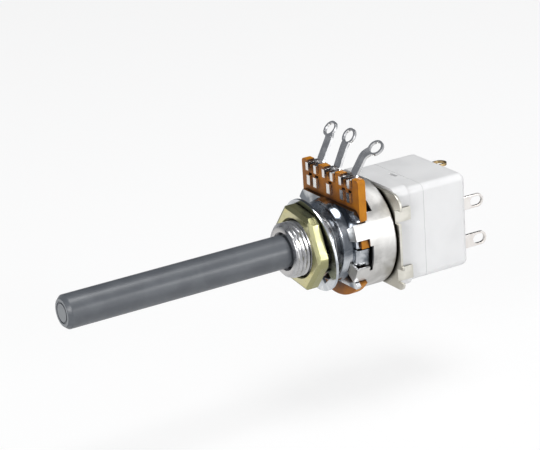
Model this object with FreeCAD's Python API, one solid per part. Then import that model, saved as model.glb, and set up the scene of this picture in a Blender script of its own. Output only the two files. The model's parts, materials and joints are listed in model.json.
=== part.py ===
import FreeCAD, Part
import math
import os

# Panel-mount rotary potentiometer with a two-pole switch behind it.
# Millimetres. The origin is on the spindle's axis, in the mounting face of the front plate.
# The spindle points along -Y, the solder tags along +Z, and the switch lies behind, along +Y.

# Spindle
SPINDLE_DIAMETER = 6.0
SPINDLE_REACH = 51.3
SPINDLE_BEVEL_LENGTH = 0.7
SPINDLE_END_DIAMETER = 4.8
MOULD_MARK_DIAMETER = 3.8
MOULD_MARK_WIDTH = 0.25
MOULD_MARK_DEPTH = 0.2
JOURNAL_RELIEF = 0.04
GREASE_GROOVE_WIDTH = 0.9
GREASE_GROOVE_DEPTH = 0.25
TAIL_DIAMETER = 5.0
TAIL_FLAT = 1.9

# Running and assembly clearances
RUNNING_CLEARANCE = 0.05
SLIDING_CLEARANCE = 0.15
SEAT_GAP = 0.1

# Threaded bush, M10 x 0.75
THREAD_DIAMETER = 10.0
BUSH_REACH = 8.0
BUSH_BEVEL = 0.6
BUSH_MOUTH_DIAMETER = 7.0
BUSH_MOUTH_DEPTH = 0.9
BUSH_NECK_DIAMETER = 8.0
BUSH_COLLAR_DIAMETER = 9.4
BUSH_COLLAR_THICKNESS = 0.5

# Hexagon nut
NUT_ACROSS_FLATS = 14.0
NUT_THICKNESS = 2.0
NUT_STANDOFF = 3.5
NUT_CORNER_DIAMETER = 15.3
NUT_BEVEL_RADIAL = 0.7
NUT_BEVEL_AXIAL = 0.5
NUT_TURN = 21.7

# Locating washer, lying aslant between the nut and the plate
WASHER_DIAMETER = 17.2
WASHER_HOLE_DIAMETER = 10.7
WASHER_THICKNESS = 0.5
WASHER_STANDOFF = 2.18
WASHER_DROP = 0.2
WASHER_LEAN = 7.5
WASHER_SWING = -2.0
TONGUE_WIDTH = 2.6
TONGUE_LENGTH = 1.5
TONGUE_RADIUS = 6.3
TONGUE_ANGLE = -53.0
TONGUE_SLOT = 0.35

# Front plate
PLATE_THICKNESS = 0.8
PLATFORM_DIAMETER = 14.2
PLATFORM_HEIGHT = 1.6
PLATFORM_TAPER = 0.45
PLATFORM_ROUND = 0.35
FLANGE_DIAMETER = 21.6
FLANGE_FLAT = 7.25
EAR_REACH = 8.8
EAR_WIDTH = 3.2
EAR_DEPTH = 2.8
EAR_ANGLE = -9.7
EAR_MARGIN = 0.4

# Track board
BOARD_THICKNESS = 1.5
BOARD_SETBACK = 0.4
BOARD_WIDTH = 18.1
BOARD_TOP = 12.8
BOARD_CORNER = 0.6
BOARD_HOLE_DIAMETER = 9.6
BOARD_NOTCH_DEPTH = 0.75
BOARD_THROAT_WIDTH = 1.7
BOARD_THROAT_DEPTH = 1.9
TRACK_THICKNESS = 0.05
TRACK_MARGIN = 0.2
TRACK_WIDTH = 1.3
TRACK_SWEEP = 270.0
COLLECTOR_OUTER_DIAMETER = 12.0
COLLECTOR_WIDTH = 0.9
LEAD_WIDTH = 1.6

# Solder tags on the board
TAG_PITCH = 5.35
TAG_THICKNESS = 0.5
TAG_PLATE_WIDTH = 3.9
TAG_PLATE_FOOT = 8.0
TAG_NECK_WIDTH = 1.75
TAG_BEND_HEIGHT = 12.8
TAG_EYE_DIAMETER = 3.0
TAG_HOLE_DIAMETER = 2.2
CLAW_OFFSET = 1.3
CLAW_WIDTH = 0.8
CLAW_DROP = 1.5
PRONG_SPREAD = 2.1
PRONG_WIDTH = 1.0
PRONG_TOP = 10.2
PRONG_DROP = 1.8
PRONG_SLOT_GAP = 0.3
TAG_TWIST_ANGLE = 4.0
TAG_BEND_LEAD = 0.25
LEFT_TAG_LEAN_ANGLE = 33.0
LEFT_TAG_SPLAY_ANGLE = -6.0
LEFT_TAG_RISE = 4.3
LEFT_EYE_LEAN_ANGLE = 42.0
LEFT_EYE_SPLAY_ANGLE = -36.0
LEFT_EYE_REACH = 1.85
CENTRE_TAG_LEAN_ANGLE = 25.5
CENTRE_TAG_RISE = 4.0
CENTRE_EYE_LEAN_ANGLE = 36.0
CENTRE_EYE_REACH = 1.8
RIGHT_TAG_LEAN_ANGLE = 30.0
RIGHT_TAG_SPLAY_ANGLE = 6.0
RIGHT_TAG_RISE = 3.45
RIGHT_TAG_BEND_LENGTH = 0.7
RIGHT_EYE_LEAN_ANGLE = 50.0
RIGHT_EYE_TWIST_ANGLE = 10.0
RIGHT_EYE_SPLAY_ANGLE = 33.0
RIGHT_EYE_REACH = 2.05

# Rear can
CAN_DIAMETER = 19.7
CAN_WALL = 0.4
CAN_DEPTH = 5.6
CAN_ROUND = 0.45
CAN_HOLE_DIAMETER = 8.4
CAN_TAB_ARCS = ((12.5, 29.5), (-37.0, -19.0))
CAN_TAB_TOE = 1.9
CAN_TAB_MARGIN = 1.2
CAN_RIM_NOTCH_ARC = (39.5, 66.0)
CAN_RIM_NOTCH_DEPTH = 2.0
CAN_TAG_NOTCH_ARC = (38.0, 142.0)

# Wiper carrier and contact
CARRIER_DIAMETER = 17.0
CARRIER_THICKNESS = 2.4
CARRIER_FRONT_GAP = 1.2
CARRIER_HUB_DIAMETER = 8.6
CARRIER_BOSS_DIAMETER = 7.4
WIPER_THICKNESS = 0.2
WIPER_START = 30.0
WIPER_LIFT = 0.02
WIPER_ARM_WIDTH = 2.4
WIPER_FINGER_WIDTH = 1.4
WIPER_FINGER_LENGTH = 0.5
TONGUE_BLADE_THICKNESS = 1.2
TONGUE_BLADE_WIDTH = 5.0
TONGUE_BLADE_REACH = 3.6
STOP_INNER_RADIUS = 5.2
STOP_OUTER_RADIUS = 7.4
STOP_WIDTH = 2.4
STOP_DEPTH = 1.0
STOP_LUG_ARC = 34.0
CLIP_THICKNESS = 0.4
CLIP_DIAMETER = 8.4
CLIP_GROOVE_DEPTH = 0.5
CLIP_GAP = 3.0

# Bracket between can and switch
BRACKET_WIDTH = 21.3
BRACKET_TOP = 8.7
BRACKET_BOTTOM = 9.0
BRACKET_TOP_CORNER = 2.4
BRACKET_BOTTOM_CORNER = 1.3
BRACKET_THICKNESS = 0.5
BRACKET_PAD_DIAMETER = 15.0
BRACKET_PAD_HEIGHT = 0.25
BRACKET_HOLE_DIAMETER = 8.6
BRACKET_TAB_SPANS = ((3.35, 5.8), (-7.6, -5.15))
BRACKET_TAB_LENGTH = 2.85
BRACKET_TAB_SPREAD = 18.0
BRACKET_WAIST_BOTTOM = -4.4
BRACKET_WAIST_DEPTH = 0.45

# Switch housings
SWITCH_WIDTH = 16.2
SWITCH_HEIGHT = 17.5
SWITCH_FRONT_DEPTH = 6.3
SWITCH_REAR_DEPTH = 9.25
SWITCH_WALL = 1.2
SWITCH_BACK_WALL = 1.6
SWITCH_CORNER = 1.3
SWITCH_BACK_ROUND = 1.1
SWITCH_BASE_SIDE_STEP = 0.35
SWITCH_BASE_END_STEP = 0.5
SWITCH_BASE_DEPTH = 2.95
SWITCH_HOLE_DIAMETER = 9.0
SWITCH_SLOT_LENGTH = 2.2
SWITCH_SLOT_HEIGHT = 0.6
SWITCH_SLOT_SETBACK = 0.6
PIVOT_DIAMETER = 3.0
PIVOT_SHOULDER_DIAMETER = 4.4

# Switch tags
SWITCH_TAG_THICKNESS = 0.5
SWITCH_TAG_WIDTH = 2.5
UPPER_SWITCH_TAG_REACH = 4.6
LOWER_SWITCH_TAG_REACH = 5.0
SWITCH_TAG_OFFSET = 6.55
SWITCH_TAG_UPPER = 2.5
SWITCH_TAG_LOWER = -4.8
SWITCH_TAG_SLOT_WIDTH = 1.7
SWITCH_TAG_SLOT_LENGTH = 2.5
TOP_TAG_HEIGHT = 6.6
TOP_TAG_OFFSET = -4.6

# Switch mechanism: a cam turned by the carrier's blade holds two leaf contacts open at the off end
CAM_HUB_DIAMETER = 10.4
CAM_HUB_DEPTH = 4.2
CAM_BASE_DIAMETER = 7.0
CAM_LOBE_REACH = 5.3
CAM_LOBE_ARC = 24.0
LEAF_THICKNESS = 0.25
LEAF_WIDTH = 1.6
LEAF_TOP = 3.65
LEAF_BOTTOM = 3.4
LEAF_FOLLOWER = 0.65
LEAF_PLANES = (17.0, 19.2)
CONTACT_GAP = 1.0
CONTACT_OVERLAP = 0.5
CONTACT_STEM_BOTTOM = 6.6

# Planes that follow from the sizes above
flange_front = PLATFORM_HEIGHT
flange_back = flange_front + PLATE_THICKNESS
board_back = flange_back + BOARD_THICKNESS
can_back = board_back + CAN_DEPTH
bracket_front = can_back + BRACKET_PAD_HEIGHT
bracket_back = bracket_front + BRACKET_THICKNESS
switch_seam = bracket_back + SWITCH_FRONT_DEPTH
switch_back = switch_seam + SWITCH_REAR_DEPTH
journal_radius = SPINDLE_DIAMETER / 2 - JOURNAL_RELIEF
bush_bore_radius = journal_radius + RUNNING_CLEARANCE
carrier_front = board_back + CARRIER_FRONT_GAP
carrier_back = carrier_front + CARRIER_THICKNESS
cam_front = bracket_back + SWITCH_WALL + SLIDING_CLEARANCE
cam_back = LEAF_PLANES[1] + LEAF_WIDTH + SLIDING_CLEARANCE
board_diameter = FLANGE_DIAMETER - 2 * BOARD_SETBACK
track_outer = EAR_REACH - PLATE_THICKNESS - TRACK_MARGIN
track_middle = track_outer - TRACK_WIDTH / 2
collector_middle = (COLLECTOR_OUTER_DIAMETER - COLLECTOR_WIDTH) / 2
leaf_face = SWITCH_TAG_OFFSET - SWITCH_TAG_THICKNESS / 2 - LEAF_THICKNESS

ALONG = FreeCAD.Vector(0, 1, 0)
CENTRE = FreeCAD.Vector(0, 0, 0)


def block(x_range, y_range, z_range):
    """A box between the given limits."""
    low = FreeCAD.Vector(x_range[0], y_range[0], z_range[0])
    return Part.makeBox(
        x_range[1] - x_range[0],
        y_range[1] - y_range[0],
        z_range[1] - z_range[0],
        low,
    )


def disc(radius, front, back, x=0.0, z=0.0):
    """A cylinder along Y between two planes."""
    return Part.makeCylinder(radius, back - front, FreeCAD.Vector(x, front, z), ALONG)


def ring(outer, inner, front, back):
    """A tube along Y."""
    return disc(outer, front, back).cut(disc(inner, front - 1, back + 1))


def turned(profile):
    """A solid of revolution about the spindle's axis, from (radius, y) points."""
    points = [FreeCAD.Vector(radius, y, 0) for radius, y in profile]
    face = Part.Face(Part.makePolygon(points + points[:1]))
    return face.revolve(CENTRE, ALONG, 360)


def slab(outline, front, back):
    """A plate across the axis, from (x, z) points."""
    points = [FreeCAD.Vector(x, front, z) for x, z in outline]
    face = Part.Face(Part.makePolygon(points + points[:1]))
    return face.extrude(FreeCAD.Vector(0, back - front, 0))


def sector(radius, start, end, front, back):
    """A pie slice along Y between two angles, counted from +X towards +Z."""
    steps = max(2, int(math.ceil((end - start) / 30.0)))
    outline = [(0.0, 0.0)]
    for step in range(steps + 1):
        angle = math.radians(start + (end - start) * step / steps)
        outline.append((radius * math.cos(angle), radius * math.sin(angle)))
    return slab(outline, front, back)


def about_y(shape, angle):
    """Turn a shape about the spindle's axis, from +X towards +Z."""
    turned_shape = shape.copy()
    turned_shape.rotate(CENTRE, ALONG, -angle)
    return turned_shape


def mirrored(shape):
    """The same shape on the other side of the YZ plane."""
    return shape.mirror(CENTRE, FreeCAD.Vector(1, 0, 0))


def joined(shapes):
    """One solid from shapes that meet."""
    result = shapes[0]
    for other in shapes[1:]:
        result = result.fuse(other)
    return result.removeSplitter()


def rounded(shape, radius, wanted):
    """Fillet the edges that the test picks."""
    edges = [edge for edge in shape.Edges if wanted(edge)]
    return shape.makeFillet(radius, edges)


def lies_at(edge, y):
    """True for an edge that lies in one plane across the axis."""
    box = edge.BoundBox
    return abs(box.YMin - y) < 1e-4 and abs(box.YMax - y) < 1e-4


def runs_along(edge):
    """True for a straight edge along Y."""
    box = edge.BoundBox
    return box.YLength > 1e-3 and box.XLength < 1e-6 and box.ZLength < 1e-6


def spindle():
    """Moulded rod: bevelled end, grease groove, journal in the bush, clip groove and flatted tail."""
    radius = SPINDLE_DIAMETER / 2
    tip = -SPINDLE_REACH
    groove_front = -BUSH_REACH - SEAT_GAP
    journal_front = groove_front + GREASE_GROOVE_WIDTH
    journal_back = PLATE_THICKNESS + BUSH_COLLAR_THICKNESS + SEAT_GAP
    groove_radius = journal_radius - CLIP_GROOVE_DEPTH
    groove_back = journal_back + CLIP_THICKNESS
    tail_radius = TAIL_DIAMETER / 2
    rod = turned([
        (0, tip),
        (SPINDLE_END_DIAMETER / 2, tip),
        (radius, tip + SPINDLE_BEVEL_LENGTH),
        (radius, groove_front),
        (radius - GREASE_GROOVE_DEPTH, groove_front),
        (radius - GREASE_GROOVE_DEPTH, journal_front),
        (journal_radius, journal_front),
        (journal_radius, journal_back),
        (groove_radius, journal_back),
        (groove_radius, groove_back),
        (journal_radius, groove_back),
        (journal_radius, carrier_front),
        (tail_radius, carrier_front),
        (tail_radius, carrier_back),
        (0, carrier_back),
    ])
    mark = ring(
        MOULD_MARK_DIAMETER / 2,
        MOULD_MARK_DIAMETER / 2 - MOULD_MARK_WIDTH,
        tip - 1,
        tip + MOULD_MARK_DEPTH,
    )
    flat = block((-radius, radius), (carrier_front, carrier_back + 1), (TAIL_FLAT, radius + 1))
    return rod.cut(mark).cut(flat)


def retaining_clip():
    """Open ring that sits in the spindle's groove, behind the bush."""
    front = PLATE_THICKNESS + BUSH_COLLAR_THICKNESS + SEAT_GAP
    back = front + CLIP_THICKNESS
    inner = journal_radius - CLIP_GROOVE_DEPTH
    body = ring(CLIP_DIAMETER / 2, inner, front, back)
    gap = block((-CLIP_GAP / 2, CLIP_GAP / 2), (front - 1, back + 1), (0, CLIP_DIAMETER))
    return body.cut(gap)


def threaded_bush():
    """Bush with bevelled end, countersunk mouth, and a neck staked behind the plate."""
    thread = THREAD_DIAMETER / 2
    front = -BUSH_REACH
    collar_back = PLATE_THICKNESS + BUSH_COLLAR_THICKNESS
    return turned([
        (bush_bore_radius, front + BUSH_MOUTH_DEPTH),
        (BUSH_MOUTH_DIAMETER / 2, front),
        (thread - BUSH_BEVEL, front),
        (thread, front + BUSH_BEVEL),
        (thread, 0),
        (BUSH_NECK_DIAMETER / 2, 0),
        (BUSH_NECK_DIAMETER / 2, PLATE_THICKNESS),
        (BUSH_COLLAR_DIAMETER / 2, PLATE_THICKNESS),
        (BUSH_COLLAR_DIAMETER / 2, collar_back),
        (bush_bore_radius, collar_back),
    ])


def hex_nut():
    """Hexagon nut, bevelled in front, with its corners turned down and a countersunk thread."""
    front = -NUT_STANDOFF - NUT_THICKNESS
    back = -NUT_STANDOFF
    corner = NUT_ACROSS_FLATS / 2 / math.cos(math.radians(30))
    front_corner = corner - NUT_BEVEL_RADIAL / math.cos(math.radians(30))
    angles = [math.radians(90 + NUT_TURN + 60 * side) for side in range(6)]

    def hexagon(radius, y):
        points = [FreeCAD.Vector(radius * math.cos(a), y, radius * math.sin(a)) for a in angles]
        return Part.makePolygon(points + points[:1])

    bevel = Part.makeLoft([hexagon(front_corner, front), hexagon(corner, front + NUT_BEVEL_AXIAL)], True)
    prism = Part.Face(hexagon(corner, front + NUT_BEVEL_AXIAL))
    prism = prism.extrude(FreeCAD.Vector(0, back - front - NUT_BEVEL_AXIAL, 0))
    thread = THREAD_DIAMETER / 2
    bore = turned([
        (0, front - 1),
        (thread + NUT_BEVEL_AXIAL + 1, front - 1),
        (thread, front + NUT_BEVEL_AXIAL),
        (thread, back + 1),
        (0, back + 1),
    ])
    turned_down = disc(NUT_CORNER_DIAMETER / 2, front, back)
    return joined([bevel, prism]).cut(bore).common(turned_down)


def locating_washer():
    """Flat washer with a tongue lanced out of it and stood up towards the panel."""
    half = WASHER_THICKNESS / 2
    washer = ring(WASHER_DIAMETER / 2, WASHER_HOLE_DIAMETER / 2, -half, half)
    window = block(
        (TONGUE_RADIUS - TONGUE_LENGTH / 2, TONGUE_RADIUS + TONGUE_LENGTH / 2),
        (-1, 1),
        (-TONGUE_WIDTH / 2 - TONGUE_SLOT, TONGUE_WIDTH / 2 + TONGUE_SLOT),
    )
    tongue = block(
        (TONGUE_RADIUS - TONGUE_LENGTH / 2 - half, TONGUE_RADIUS - TONGUE_LENGTH / 2 + half),
        (-half - TONGUE_LENGTH + WASHER_THICKNESS, half),
        (-TONGUE_WIDTH / 2, TONGUE_WIDTH / 2),
    )
    blank = washer.cut(about_y(window, TONGUE_ANGLE))
    washer = joined([blank, about_y(tongue, TONGUE_ANGLE)])
    washer.rotate(CENTRE, FreeCAD.Vector(1, 0, 0), WASHER_LEAN)
    washer.rotate(CENTRE, FreeCAD.Vector(0, 0, 1), WASHER_SWING)
    washer.translate(FreeCAD.Vector(0, -WASHER_STANDOFF, -WASHER_DROP))
    return washer


def ear():
    """Strip of the plate's edge bent back beside the board and into the can's notch."""
    root = EAR_REACH - PLATE_THICKNESS - 1.0
    half = EAR_WIDTH / 2
    foot = block((root, EAR_REACH), (flange_front, flange_back), (-half, half))
    leg = block(
        (EAR_REACH - PLATE_THICKNESS, EAR_REACH),
        (flange_front, flange_front + EAR_DEPTH),
        (-half, half),
    )
    bent = joined([foot, leg])

    def outer_bend(edge):
        box = edge.BoundBox
        return lies_at(edge, flange_front) and box.XLength < 1e-6 and abs(box.XMax - EAR_REACH) < 1e-4

    return about_y(rounded(bent, PLATE_THICKNESS * 0.9, outer_bend), EAR_ANGLE)


def ear_room(inner, margin, front, back):
    """The space kept clear for an ear in the plate's flange, the board and the can."""
    half = EAR_WIDTH / 2 + margin
    return about_y(block((inner, FLANGE_DIAMETER), (front, back), (-half, half)), EAR_ANGLE)


def tab_room(inner, margin, front, back):
    """The two edge notches on one side, in which the can's tabs lie."""
    notches = []
    for start, end in CAN_TAB_ARCS:
        wedge = sector(FLANGE_DIAMETER, start - margin, end + margin, front, back)
        notches.append(wedge.cut(disc(inner, front - 1, back + 1)))
    return notches


def front_plate():
    """Pressed plate: raised platform, flange with two flats, notches and two ears."""
    top = PLATFORM_DIAMETER / 2
    foot = top + PLATFORM_TAPER
    flange = FLANGE_DIAMETER / 2
    wall = PLATE_THICKNESS
    shell = turned([
        (BUSH_NECK_DIAMETER / 2, 0),
        (top, 0),
        (foot, flange_front),
        (flange, flange_front),
        (flange, flange_back),
        (foot - wall, flange_back),
        (top - wall, wall),
        (BUSH_NECK_DIAMETER / 2, wall),
    ])

    def platform_rim(edge):
        return lies_at(edge, 0) and edge.BoundBox.XLength > BUSH_NECK_DIAMETER * 1.2

    shell = rounded(shell, PLATFORM_ROUND, platform_rim)
    window = block((-flange, flange), (-1, flange_back + 1), (-FLANGE_FLAT, FLANGE_FLAT))
    plate = shell.common(window)
    can_inside = CAN_DIAMETER / 2 - CAN_WALL
    cuts = tab_room(can_inside - SEAT_GAP, CAN_TAB_MARGIN, 0, flange_back + 1)
    cuts.append(ear_room(EAR_REACH - PLATE_THICKNESS * 1.5, EAR_MARGIN, 0, flange_back + 1))
    between = sector(FLANGE_DIAMETER, CAN_TAB_ARCS[1][1], CAN_TAB_ARCS[0][0], 0, flange_back + 1)
    cuts.append(between.cut(disc(EAR_REACH, -1, flange_back + 2)))
    for cut in cuts:
        plate = plate.cut(cut).cut(mirrored(cut))
    return joined([plate, ear(), mirrored(ear())])


def tag_centres():
    """The three tags' places across the board."""
    return [-TAG_PITCH, 0.0, TAG_PITCH]


def tag_prongs():
    """Each tag's prongs, counted from its middle: two on the outer tags and one on the centre tag."""
    pair = [-PRONG_SPREAD / 2, PRONG_SPREAD / 2]
    return [pair, [0.0], pair]


def track_board():
    """Laminate board: round below, straight-sided above, with a toothed top edge."""
    front = flange_back
    back = board_back
    half = BOARD_WIDTH / 2
    round_part = disc(board_diameter / 2, front, back)
    upper = block((-half, half), (front, back), (0, BOARD_TOP))
    board = joined([round_part, upper])

    def top_corner(edge):
        box = edge.BoundBox
        return runs_along(edge) and abs(box.ZMax - BOARD_TOP) < 1e-4

    board = rounded(board, BOARD_CORNER, top_corner)
    board = board.cut(disc(BOARD_HOLE_DIAMETER / 2, front - 1, back + 1))
    can_inside = CAN_DIAMETER / 2 - CAN_WALL
    cuts = tab_room(can_inside - SEAT_GAP, CAN_TAB_MARGIN, front - 1, back + 1)
    cuts.append(ear_room(EAR_REACH - PLATE_THICKNESS - SEAT_GAP, EAR_MARGIN, front - 1, back + 1))
    between = sector(board_diameter, CAN_TAB_ARCS[1][1], CAN_TAB_ARCS[0][0], front - 1, back + 1)
    cuts.append(between.cut(disc(can_inside - SEAT_GAP, front - 2, back + 2)))
    for cut in cuts:
        board = board.cut(cut).cut(mirrored(cut))
    for centre, prongs in zip(tag_centres(), tag_prongs()):
        throat_radius = BOARD_THROAT_WIDTH / 2
        throat_foot = BOARD_TOP - BOARD_THROAT_DEPTH + throat_radius
        board = board.cut(block(
            (centre - throat_radius, centre + throat_radius),
            (front - 1, back + 1),
            (throat_foot, BOARD_TOP + 1),
        ))
        board = board.cut(disc(throat_radius, front - 1, back + 1, centre, throat_foot))
        for side in (-1, 1):
            claw = centre + side * CLAW_OFFSET
            notch_half = CLAW_WIDTH / 2 + SEAT_GAP
            board = board.cut(block(
                (claw - notch_half, claw + notch_half),
                (front - 1, back + 1),
                (BOARD_TOP - BOARD_NOTCH_DEPTH, BOARD_TOP + 1),
            ))
        for prong in prongs:
            board = board.cut(block(
                (centre + prong - PRONG_WIDTH / 2, centre + prong + PRONG_WIDTH / 2),
                (front - 1, back + 1),
                (PRONG_TOP - TAG_THICKNESS, PRONG_TOP + PRONG_SLOT_GAP),
            ))
    return board


def printed_ring(middle, width):
    """A thin printed ring on the back of the board."""
    return ring(middle + width / 2, middle - width / 2, board_back, board_back + TRACK_THICKNESS)


def carbon_track():
    """Printed resistive horseshoe, open at the top, with a lead up to each outer tag."""
    front = board_back
    back = board_back + TRACK_THICKNESS
    opening = (360.0 - TRACK_SWEEP) / 2
    gap = sector(FLANGE_DIAMETER, 90 - opening, 90 + opening, front - 1, back + 1)
    parts = [printed_ring(track_middle, TRACK_WIDTH).cut(gap)]
    foot = track_middle * math.cos(math.radians(opening)) - LEAD_WIDTH / 2
    for side in (-1, 1):
        centre = side * TAG_PITCH
        parts.append(block(
            (centre - LEAD_WIDTH / 2, centre + LEAD_WIDTH / 2),
            (front, back),
            (foot, TAG_PLATE_FOOT),
        ))
    return joined(parts)


def collector_track():
    """Printed pick-up ring with a lead up to the centre tag."""
    lead = block(
        (-LEAD_WIDTH / 2, LEAD_WIDTH / 2),
        (board_back, board_back + TRACK_THICKNESS),
        (collector_middle, TAG_PLATE_FOOT),
    )
    return joined([printed_ring(collector_middle, COLLECTOR_WIDTH), lead])


def tag_axes(lean, twist, splay):
    """The length, face and width directions of a blade.

    It leans back, is twisted to the near side, and is splayed sideways in its own plane.
    """
    lean = math.radians(lean)
    twist = math.radians(twist)
    splay = math.radians(splay)
    upright = FreeCAD.Vector(0, math.sin(lean), math.cos(lean))
    square = FreeCAD.Vector(0, -math.cos(lean), math.sin(lean))
    face = square * math.cos(twist) + FreeCAD.Vector(math.sin(twist), 0, 0)
    along = upright * math.cos(splay) + upright.cross(face) * math.sin(splay)
    return along, face, along.cross(face)


def tag_section(place, lean, twist, splay):
    """The blade's rectangular section at one place along it."""
    along, face, across = tag_axes(lean, twist, splay)
    corners = []
    for side, edge in ((-1, -1), (1, -1), (1, 1), (-1, 1)):
        corners.append(place + across * (side * TAG_NECK_WIDTH / 2) + face * (edge * TAG_THICKNESS / 2))
    return Part.makePolygon(corners + corners[:1])


def solder_tag(centre, prongs, bends):
    """Solder tag: back plate, claws over the board's edge, clenched prongs, bent blade and eye.

    bends is a list of (lean, twist, splay, length) from the neck upwards.
    The last one runs to the eye's middle.
    """
    back = board_back + TAG_THICKNESS
    front = flange_back
    notch_floor = BOARD_TOP - BOARD_NOTCH_DEPTH
    shoulder = notch_floor + TAG_THICKNESS
    half_plate = TAG_PLATE_WIDTH / 2
    plate_range = (centre - half_plate, centre + half_plate)
    parts = [block(plate_range, (board_back, back), (TAG_PLATE_FOOT, shoulder))]
    for side in (-1, 1):
        claw = centre + side * CLAW_OFFSET
        claw_range = (claw - CLAW_WIDTH / 2, claw + CLAW_WIDTH / 2)
        parts.append(block(claw_range, (front - TAG_THICKNESS, back), (notch_floor, shoulder)))
        parts.append(block(claw_range, (front - TAG_THICKNESS, front), (shoulder - CLAW_DROP, shoulder)))
    for prong in prongs:
        prong_range = (centre + prong - PRONG_WIDTH / 2, centre + prong + PRONG_WIDTH / 2)
        shank_span = (PRONG_TOP - TAG_THICKNESS, PRONG_TOP)
        parts.append(block(prong_range, (front - TAG_THICKNESS, back), shank_span))
        parts.append(block(prong_range, (front - TAG_THICKNESS, front), (PRONG_TOP - PRONG_DROP, PRONG_TOP)))
    middle = board_back + TAG_THICKNESS / 2
    place = FreeCAD.Vector(centre, middle, TAG_BEND_HEIGHT)
    sections = [
        tag_section(FreeCAD.Vector(centre, middle, shoulder - TAG_THICKNESS), 0.0, 0.0, 0.0),
        tag_section(place, 0.0, 0.0, 0.0),
    ]
    ring_wall = (TAG_EYE_DIAMETER - TAG_HOLE_DIAMETER) / 2
    splay_before = 0.0
    for number, (lean, twist, splay, length) in enumerate(bends):
        along, face, across = tag_axes(lean, twist, splay)
        run = length - TAG_BEND_LEAD
        if number == len(bends) - 1:
            run = length - TAG_HOLE_DIAMETER / 2 - ring_wall / 4
        sections.append(tag_section(place + along * TAG_BEND_LEAD, lean, twist, (splay_before + splay) / 2))
        sections.append(tag_section(place + along * run, lean, twist, splay))
        place = place + along * length
        splay_before = splay
    parts.append(Part.makeLoft(sections, True, True))
    seat = place - face * (TAG_THICKNESS / 2)
    parts.append(Part.makeCylinder(TAG_EYE_DIAMETER / 2, TAG_THICKNESS, seat, face))
    hole = Part.makeCylinder(TAG_HOLE_DIAMETER / 2, 3 * TAG_THICKNESS, seat - face * TAG_THICKNESS, face)
    return joined(parts).cut(hole)


def left_tag():
    """Left tag, leaning back, with its eye jogged outwards."""
    return solder_tag(tag_centres()[0], tag_prongs()[0], [
        (LEFT_TAG_LEAN_ANGLE, TAG_TWIST_ANGLE, LEFT_TAG_SPLAY_ANGLE, LEFT_TAG_RISE),
        (LEFT_EYE_LEAN_ANGLE, 0.0, LEFT_EYE_SPLAY_ANGLE, LEFT_EYE_REACH),
    ])


def centre_tag():
    """Centre tag, leaning back, with its eye bent back a little more."""
    return solder_tag(tag_centres()[1], tag_prongs()[1], [
        (CENTRE_TAG_LEAN_ANGLE, TAG_TWIST_ANGLE, 0.0, CENTRE_TAG_RISE),
        (CENTRE_EYE_LEAN_ANGLE, TAG_TWIST_ANGLE, 0.0, CENTRE_EYE_REACH),
    ])


def right_tag():
    """Right tag, leaning back, then bent further back and outwards to its eye."""
    middle_lean = (RIGHT_TAG_LEAN_ANGLE + RIGHT_EYE_LEAN_ANGLE) / 2
    middle_twist = (TAG_TWIST_ANGLE + RIGHT_EYE_TWIST_ANGLE) / 2
    middle_splay = (RIGHT_TAG_SPLAY_ANGLE + RIGHT_EYE_SPLAY_ANGLE) / 2
    return solder_tag(tag_centres()[2], tag_prongs()[2], [
        (RIGHT_TAG_LEAN_ANGLE, TAG_TWIST_ANGLE, RIGHT_TAG_SPLAY_ANGLE, RIGHT_TAG_RISE),
        (middle_lean, middle_twist, middle_splay, RIGHT_TAG_BEND_LENGTH),
        (RIGHT_EYE_LEAN_ANGLE, RIGHT_EYE_TWIST_ANGLE, RIGHT_EYE_SPLAY_ANGLE, RIGHT_EYE_REACH),
    ])


def rear_can():
    """Drawn cup with a central hole, a stop pressed inwards, and four tabs folded over the front plate."""
    outer = CAN_DIAMETER / 2
    inner = outer - CAN_WALL
    cup = turned([
        (CAN_HOLE_DIAMETER / 2, can_back - CAN_WALL),
        (inner, can_back - CAN_WALL),
        (inner, board_back),
        (outer, board_back),
        (outer, can_back),
        (CAN_HOLE_DIAMETER / 2, can_back),
    ])

    def back_rim(edge):
        return lies_at(edge, can_back) and edge.BoundBox.XLength > CAN_DIAMETER * 0.9

    cup = rounded(cup, CAN_ROUND, back_rim)
    notch = sector(CAN_DIAMETER, *CAN_RIM_NOTCH_ARC, board_back - 1, board_back + CAN_RIM_NOTCH_DEPTH)
    tag_notch_back = board_back + TAG_THICKNESS + SEAT_GAP
    cup = cup.cut(sector(CAN_DIAMETER, *CAN_TAG_NOTCH_ARC, board_back - 1, tag_notch_back))
    ear_back = flange_front + EAR_DEPTH + SEAT_GAP
    room = ear_room(EAR_REACH - PLATE_THICKNESS - SEAT_GAP, EAR_MARGIN * 2, board_back - 1, ear_back)
    stop = block(
        (-STOP_WIDTH / 2, STOP_WIDTH / 2),
        (can_back - CAN_WALL - STOP_DEPTH, can_back - CAN_WALL),
        (STOP_INNER_RADIUS, STOP_OUTER_RADIUS),
    )
    parts = [cup.cut(notch).cut(mirrored(notch)).cut(room).cut(mirrored(room)), stop]
    toe_front = flange_front - CAN_WALL
    for start, end in CAN_TAB_ARCS:
        wall = ring(outer, inner, toe_front, board_back)
        toe = ring(outer, inner - CAN_TAB_TOE, toe_front, flange_front)
        wedge = sector(CAN_DIAMETER, start, end, toe_front, board_back)
        tab = joined([wall, toe]).common(wedge)
        parts += [tab, mirrored(tab)]
    return joined(parts)


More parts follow.
